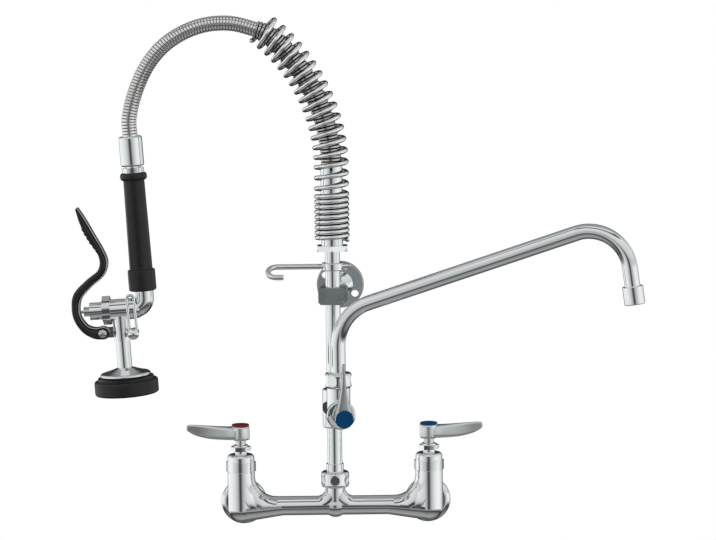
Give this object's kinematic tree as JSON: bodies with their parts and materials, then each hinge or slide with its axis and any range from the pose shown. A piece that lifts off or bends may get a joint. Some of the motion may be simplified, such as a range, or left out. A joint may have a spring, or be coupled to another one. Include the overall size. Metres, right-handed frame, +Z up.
{
  "type": "pre-rinse faucet",
  "caption": "Wall-mounted commercial kitchen faucet: two-valve mixing body, riser with swing nozzle, overhead spring, hose and hand spray valve with squeeze trigger.",
  "frame": {"origin": "on the wall plane, midway between the two supply axes", "axes": "+X right along the wall as seen from the room, +Y into the wall, +Z up"},
  "size_m": [0.6007, 0.1907, 0.5598],
  "materials": {
    "chrome": "polished",
    "lever": "satin",
    "stem": "machined and plated",
    "screw": "machined",
    "brass": "machined",
    "washer": "matt",
    "red": "gloss",
    "blue": "gloss",
    "mesh": "brushed",
    "grey_steel": "dull",
    "wire": "polished wire",
    "ribbed": "ribbed stainless",
    "grip": "satin",
    "trigger": "satin",
    "bumper": "matt"
  },
  "bodies": {
    "frame": {"mixing_body": "chrome", "inlets": "chrome", "inlet_washers": "washer", "wall_flanges": "chrome", "cartridges": "brass", "bonnets": "chrome", "packing_nuts": "chrome", "union_nut": "chrome", "union_sleeve": "chrome", "lower_riser": "chrome", "upper_riser": "chrome", "valve_body": "chrome", "valve_bonnet": "chrome", "nozzle_nut": "chrome", "bracket_plate": "grey_steel", "bracket_yoke": "grey_steel", "clamp_screws": "screw", "bracket_rod": "chrome", "bracket_flange": "grey_steel", "hook": "chrome", "hook_screw": "screw", "spring_collar": "chrome", "hose_ferrule_lower": "chrome", "spring": "wire", "hose_guard": "ribbed", "hose": "ribbed", "hose_liner": "washer", "hose_ferrule": "chrome"},
    "hot_handle": {"stem_hot": "stem", "handle_hot": "lever", "handle_screw_hot": "screw", "button_hot": "red"},
    "cold_handle": {"stem_cold": "stem", "handle_cold": "lever", "handle_screw_cold": "screw", "button_cold": "blue"},
    "valve_lever": {"valve_stem": "stem", "valve_handle": "lever", "valve_handle_screw": "screw", "valve_button": "blue"},
    "spout": {"nozzle": "chrome", "nozzle_tip": "chrome", "aerator": "mesh"},
    "spray": {"swivel_tube": "brass", "swivel_nut": "chrome", "grip": "grip", "cuff": "grip", "spray_body": "chrome", "spray_bonnet": "chrome", "trigger_screw": "screw", "ring_pin": "chrome", "spray_neck": "chrome", "spray_dome": "chrome", "bumper": "bumper", "spray_face": "mesh"},
    "trigger_lever": {"trigger": "trigger"},
    "push_rod": {"plunger": "screw"},
    "ring": {"hang_ring": "chrome"}
  },
  "joints": [
    {"name": "hot_turn", "type": "hinge", "parent": "frame", "child": "hot_handle", "pos_m": [-0.1016, -0.057, 0.085], "axis": [0, 0, 1], "range_deg": [0, 90]},
    {"name": "cold_turn", "type": "hinge", "parent": "frame", "child": "cold_handle", "pos_m": [0.1016, -0.057, 0.085], "axis": [0, 0, 1], "range_deg": [-90, 0]},
    {"name": "valve_turn", "type": "hinge", "parent": "frame", "child": "valve_lever", "pos_m": [0.00919, -0.12236, 0.114], "axis": [0.1392, -0.9903, 0], "range_deg": [-90, 0]},
    {"name": "spout_swing", "type": "hinge", "parent": "frame", "child": "spout", "pos_m": [0.00501, -0.09265, 0.15], "axis": [0, 0, 1], "range_deg": [-133, 30]},
    {"name": "spray_swivel", "type": "hinge", "parent": "frame", "child": "spray", "pos_m": [-0.21156, -0.057, 0.37272], "axis": [-0.061, 0, 0.9981], "range_deg": [-20, 90]},
    {"name": "trigger_squeeze", "type": "hinge", "parent": "spray", "child": "trigger_lever", "pos_m": [-0.24702, -0.057, 0.19733], "axis": [0, 1, 0], "range_deg": [0, 12], "stiffness_Nm_per_rad": 3, "springref_deg": -8.59},
    {"name": "rod_push", "type": "slide", "parent": "spray", "child": "push_rod", "axis": [0.9981, 0, 0.061], "range_m": [0, 0.0053]},
    {"name": "ring_turn", "type": "hinge", "parent": "spray", "child": "ring", "pos_m": [-0.21338, -0.0703, 0.19778], "axis": [0, 1, 0], "range_deg": [-20, 120]}
  ],
  "couplings": [
    {"joint": "rod_push", "follows": "trigger_squeeze", "m_per_rad": 0.0251}
  ]
}
